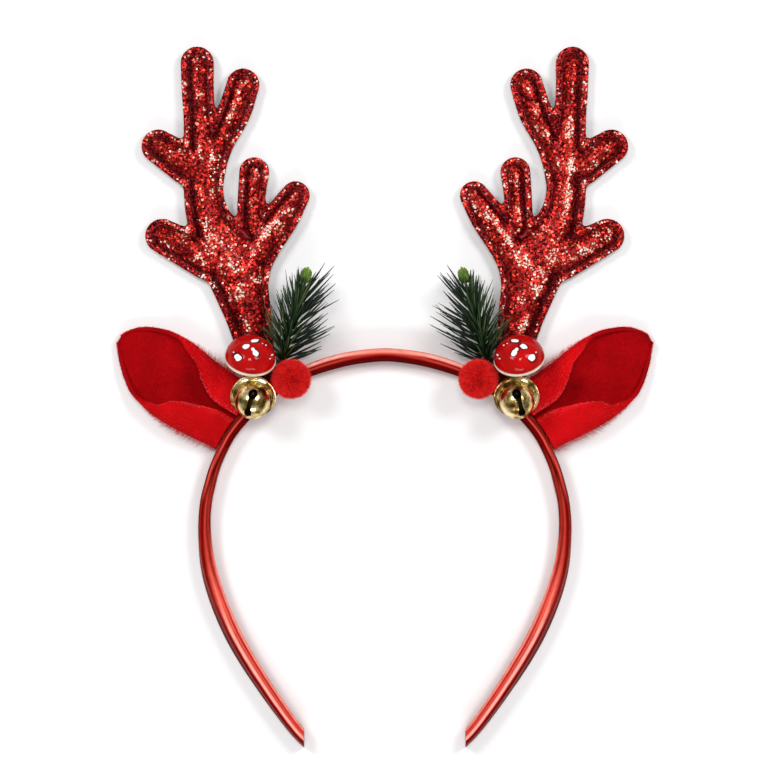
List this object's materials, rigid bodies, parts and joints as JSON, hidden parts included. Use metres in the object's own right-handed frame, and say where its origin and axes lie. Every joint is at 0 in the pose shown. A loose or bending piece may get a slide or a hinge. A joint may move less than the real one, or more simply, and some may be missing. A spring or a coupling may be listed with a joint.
{
  "type": "reindeer antler headband",
  "caption": "Red satin-covered hoop headband with padded glitter antlers, plush ears and a cluster of mushroom, jingle bell, pompom and pine sprig on each side.",
  "frame": {"origin": "middle of the footprint, on the surface that the headband lies on", "axes": "+X across to the picture's right, +Y from the hoop's open end towards the antler tips, +Z out of the front"},
  "size_m": [0.2024, 0.2633, 0.0263],
  "materials": {
    "red_satin": "shiny satin wrapped over the hoop",
    "red_glitter": "coarse glitter fabric, padded",
    "red_plush": "short soft pile",
    "red_gloss": "glossy lacquer with white spots",
    "cream": "satin",
    "pale_gold": "polished",
    "steel": "plain",
    "red_fuzz": "dense short fuzz",
    "pine_green": "dark satin",
    "bud_green": "satin"
  },
  "bodies": {
    "root": {"band": "red_satin", "antler_left": "red_glitter", "ear_left": "red_plush", "mushroom_cap_left": "red_gloss", "mushroom_gills_left": "cream", "bell_left": "pale_gold", "bell_pellet_left": "steel", "pompom_left": "red_fuzz", "sprig_left": "pine_green", "sprig_bud_left": "bud_green", "antler_right": "red_glitter", "ear_right": "red_plush", "mushroom_cap_right": "red_gloss", "mushroom_gills_right": "cream", "bell_right": "pale_gold", "bell_pellet_right": "steel", "pompom_right": "red_fuzz", "sprig_right": "pine_green", "sprig_bud_right": "bud_green"}
  },
  "joints": []
}
